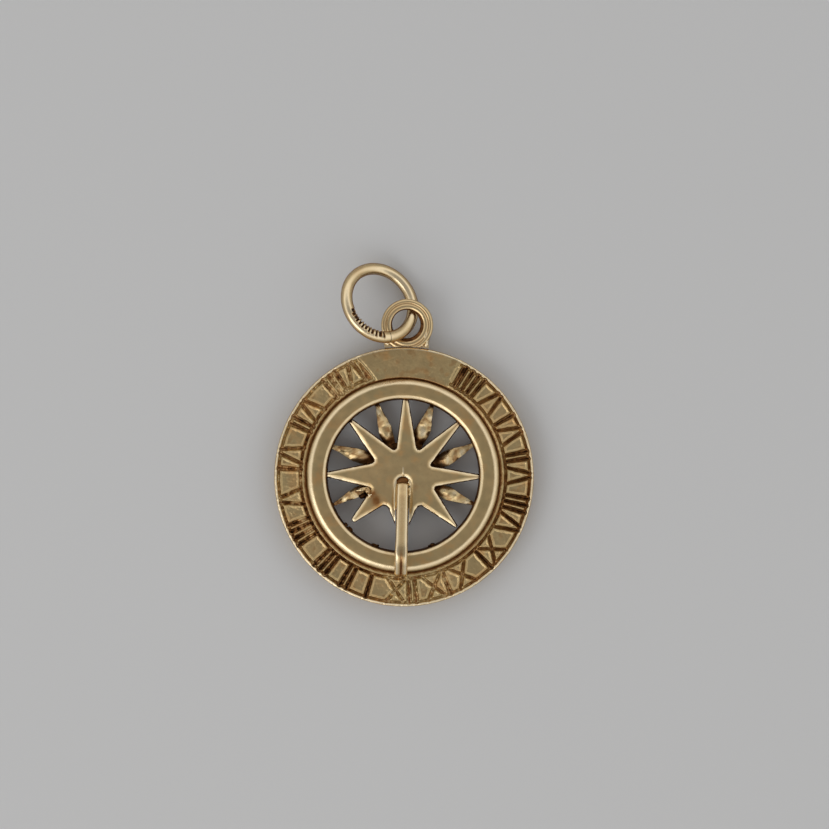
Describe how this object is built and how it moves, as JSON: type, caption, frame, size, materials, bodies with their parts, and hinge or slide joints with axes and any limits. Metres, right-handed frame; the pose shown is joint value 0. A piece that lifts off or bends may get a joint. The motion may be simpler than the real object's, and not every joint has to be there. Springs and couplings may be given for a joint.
{
  "type": "sundial pendant",
  "caption": "Round openwork sundial pendant with a numeral ring, raised bezel, two-layer sun, upright gnomon fin, soldered loop and a free jump ring.",
  "frame": {"origin": "centre of the dial on the flat back face", "axes": "+Z out of the dial face, +Y towards the bail and jump ring, +X to the right of someone looking at the face"},
  "size_m": [0.019, 0.0251, 0.0039],
  "materials": {
    "dull_gold": "worn satin yellow gold with dark tarnish in the recesses",
    "bright_gold": "polished yellow gold, lightly scratched",
    "cast_gold": "rough as-cast yellow gold",
    "solder_gold": "pale gold solder"
  },
  "bodies": {
    "pendant": {"dial_plate": "dull_gold", "bezel_ring": "dull_gold", "sun_front": "dull_gold", "sun_back": "cast_gold", "gnomon": "bright_gold", "root_solder_left": "solder_gold", "root_solder_upper": "solder_gold", "root_solder_lower": "solder_gold", "bail": "bright_gold", "bail_foot_left": "solder_gold", "bail_foot_right": "solder_gold"},
    "jump_ring": {"jump_ring": "bright_gold"}
  },
  "joints": [
    {"name": "ring_roll", "type": "hinge", "parent": "pendant", "child": "jump_ring", "pos_m": [-0.00203, 0.01268, 0.00195], "axis": [-0.7825, 0.6048, 0.1483], "range_deg": [0, 110]}
  ]
}
